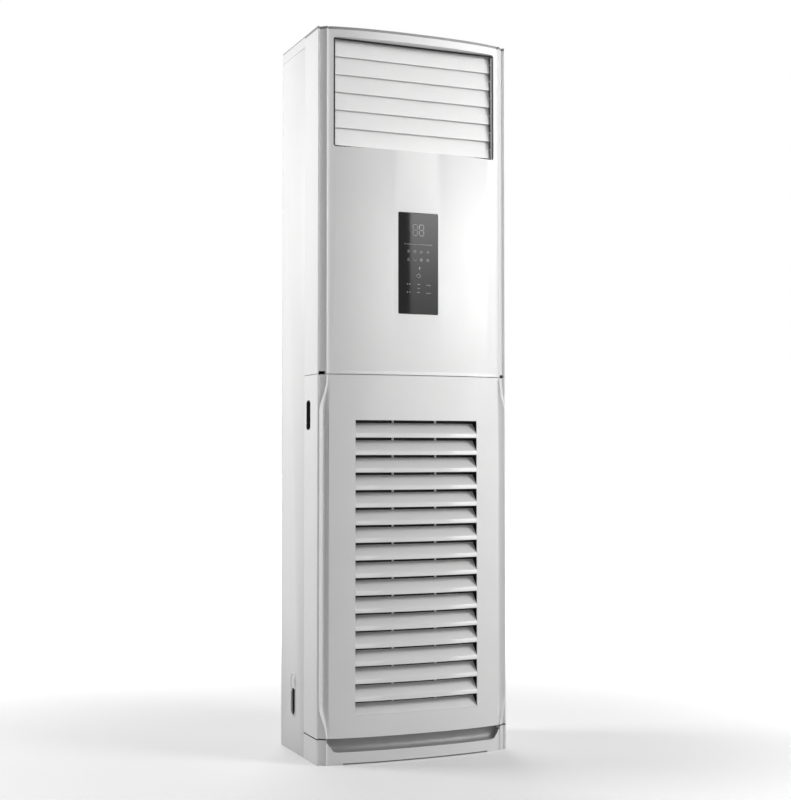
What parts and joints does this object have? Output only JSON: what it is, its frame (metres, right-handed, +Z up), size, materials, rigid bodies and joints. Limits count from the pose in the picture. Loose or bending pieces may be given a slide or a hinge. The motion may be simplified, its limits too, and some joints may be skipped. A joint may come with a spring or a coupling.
{
  "type": "floor standing air conditioner",
  "caption": "Slim white floor standing air conditioner with outlet blades at the top, a black touch display and a tall louvred intake below.",
  "frame": {"origin": "middle of the footprint at floor level", "axes": "+X to the right seen from the front, the crowned front faces -Y, +Z up"},
  "size_m": [0.5, 0.298, 1.76],
  "materials": {
    "cover_white": "satin moulded",
    "sheet_white": "powder coat",
    "blade_white": "satin moulded",
    "display_black": "high gloss",
    "pull_black": "matt moulded",
    "filter_grey": "woven mesh in a moulded frame",
    "duct_grey": "moulded",
    "coil_aluminium": "bare fins",
    "pan_zinc": "galvanised"
  },
  "bodies": {
    "cabinet": {"front_plinth": "cover_white", "base_pan": "pan_zinc", "left_side_panel": "sheet_white", "right_side_panel": "sheet_white", "back_panel": "sheet_white", "top_cover": "sheet_white", "upper_front_cover": "cover_white", "lower_front_cover": "cover_white", "intake_louvre_01": "cover_white", "intake_louvre_02": "cover_white", "intake_louvre_03": "cover_white", "intake_louvre_04": "cover_white", "intake_louvre_05": "cover_white", "intake_louvre_06": "cover_white", "intake_louvre_07": "cover_white", "intake_louvre_08": "cover_white", "intake_louvre_09": "cover_white", "intake_louvre_10": "cover_white", "intake_louvre_11": "cover_white", "intake_louvre_12": "cover_white", "intake_louvre_13": "cover_white", "intake_louvre_14": "cover_white", "intake_louvre_15": "cover_white", "intake_louvre_16": "cover_white", "intake_louvre_17": "cover_white", "left_louvre_rib": "cover_white", "right_louvre_rib": "cover_white", "air_filter": "filter_grey", "left_finger_pull": "pull_black", "right_finger_pull": "pull_black", "display_panel": "display_black", "outlet_duct": "duct_grey", "outlet_vanes": "blade_white", "evaporator_coil": "coil_aluminium", "drain_tray": "duct_grey", "left_pipe_cover": "sheet_white", "right_pipe_cover": "sheet_white"},
    "blade_1": {"outlet_blade_1": "blade_white"},
    "blade_2": {"outlet_blade_2": "blade_white"},
    "blade_3": {"outlet_blade_3": "blade_white"},
    "blade_4": {"outlet_blade_4": "blade_white"},
    "blade_5": {"outlet_blade_5": "blade_white"},
    "blade_6": {"outlet_blade_6": "blade_white"}
  },
  "joints": [
    {"name": "blade_1_tilt", "type": "hinge", "parent": "cabinet", "child": "blade_1", "pos_m": [0, -0.1142, 1.4992], "axis": [-1, 0, 0], "range_deg": [0, 80]},
    {"name": "blade_2_tilt", "type": "hinge", "parent": "cabinet", "child": "blade_2", "pos_m": [0, -0.1142, 1.5424], "axis": [-1, 0, 0], "range_deg": [0, 80]},
    {"name": "blade_3_tilt", "type": "hinge", "parent": "cabinet", "child": "blade_3", "pos_m": [0, -0.1142, 1.5856], "axis": [-1, 0, 0], "range_deg": [0, 80]},
    {"name": "blade_4_tilt", "type": "hinge", "parent": "cabinet", "child": "blade_4", "pos_m": [0, -0.1142, 1.6288], "axis": [-1, 0, 0], "range_deg": [0, 80]},
    {"name": "blade_5_tilt", "type": "hinge", "parent": "cabinet", "child": "blade_5", "pos_m": [0, -0.1142, 1.672], "axis": [-1, 0, 0], "range_deg": [0, 80]},
    {"name": "blade_6_tilt", "type": "hinge", "parent": "cabinet", "child": "blade_6", "pos_m": [0, -0.1142, 1.7152], "axis": [-1, 0, 0], "range_deg": [0, 80]}
  ],
  "couplings": [
    {"joint": "blade_2_tilt", "follows": "blade_1_tilt", "ratio": 1},
    {"joint": "blade_3_tilt", "follows": "blade_1_tilt", "ratio": 1},
    {"joint": "blade_4_tilt", "follows": "blade_1_tilt", "ratio": 1},
    {"joint": "blade_5_tilt", "follows": "blade_1_tilt", "ratio": 1},
    {"joint": "blade_6_tilt", "follows": "blade_1_tilt", "ratio": 1}
  ]
}
